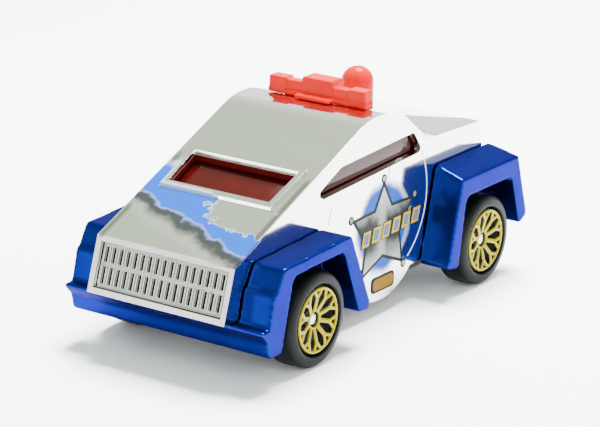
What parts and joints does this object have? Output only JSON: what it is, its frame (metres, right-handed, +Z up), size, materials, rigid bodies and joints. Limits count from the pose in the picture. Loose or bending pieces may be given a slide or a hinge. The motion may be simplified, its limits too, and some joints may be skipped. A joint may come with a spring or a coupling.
{
  "type": "toy police truck",
  "caption": "Small die-cast toy police truck: plated wedge shell, blue fender casting, red windows and roof lights, lace wheels that spin.",
  "frame": {"origin": "on the ground under the middle of the toy's box", "axes": "+X towards the truck's left side, -Y towards its nose, +Z up"},
  "size_m": [0.0314, 0.0656, 0.031],
  "materials": {
    "plated_shell": "vacuum-plated plastic, mirror bright",
    "plated_grille": "vacuum-plated plastic, dark wash in the slots",
    "blue_enamel": "deep blue metallic enamel on zinc, gloss",
    "red_clear": "clear red tinted plastic, polished",
    "red_lamp": "clear red plastic, polished",
    "interior_plastic": "plain moulded plastic",
    "base_plastic": "fine-textured moulded plastic",
    "wheel_black": "dull black moulded wheel with a smooth tread",
    "gold_lace": "gold-plated lace face",
    "axle_steel": "bright drawn wire with upset ends",
    "rivet_steel": "peened"
  },
  "bodies": {
    "truck_body": {"upper_shell": "plated_shell", "grille_panel": "plated_grille", "fender_casting": "blue_enamel", "window_glazing": "red_clear", "roof_light_bar": "red_lamp", "beacon_dome": "red_lamp", "interior_tray": "interior_plastic", "base_plate": "base_plastic", "front_rivet": "rivet_steel", "rear_rivet": "rivet_steel"},
    "front_axle_body": {"front_axle": "axle_steel"},
    "rear_axle_body": {"rear_axle": "axle_steel"},
    "front_left_wheel": {"front_left_tyre": "wheel_black", "front_left_rim": "gold_lace"},
    "front_right_wheel": {"front_right_tyre": "wheel_black", "front_right_rim": "gold_lace"},
    "rear_left_wheel": {"rear_left_tyre": "wheel_black", "rear_left_rim": "gold_lace"},
    "rear_right_wheel": {"rear_right_tyre": "wheel_black", "rear_right_rim": "gold_lace"}
  },
  "joints": [
    {"name": "front_axle_spin", "type": "hinge", "parent": "truck_body", "child": "front_axle_body", "pos_m": [0, -0.0187, 0.00635], "axis": [1, 0, 0], "continuous": true},
    {"name": "rear_axle_spin", "type": "hinge", "parent": "truck_body", "child": "rear_axle_body", "pos_m": [0, 0.0224, 0.00635], "axis": [1, 0, 0], "continuous": true},
    {"name": "front_left_wheel_spin", "type": "hinge", "parent": "truck_body", "child": "front_left_wheel", "pos_m": [0.0133, -0.0187, 0.00635], "axis": [1, 0, 0], "continuous": true},
    {"name": "front_right_wheel_spin", "type": "hinge", "parent": "truck_body", "child": "front_right_wheel", "pos_m": [-0.0133, -0.0187, 0.00635], "axis": [1, 0, 0], "continuous": true},
    {"name": "rear_left_wheel_spin", "type": "hinge", "parent": "truck_body", "child": "rear_left_wheel", "pos_m": [0.0133, 0.0224, 0.00635], "axis": [1, 0, 0], "continuous": true},
    {"name": "rear_right_wheel_spin", "type": "hinge", "parent": "truck_body", "child": "rear_right_wheel", "pos_m": [-0.0133, 0.0224, 0.00635], "axis": [1, 0, 0], "continuous": true}
  ]
}
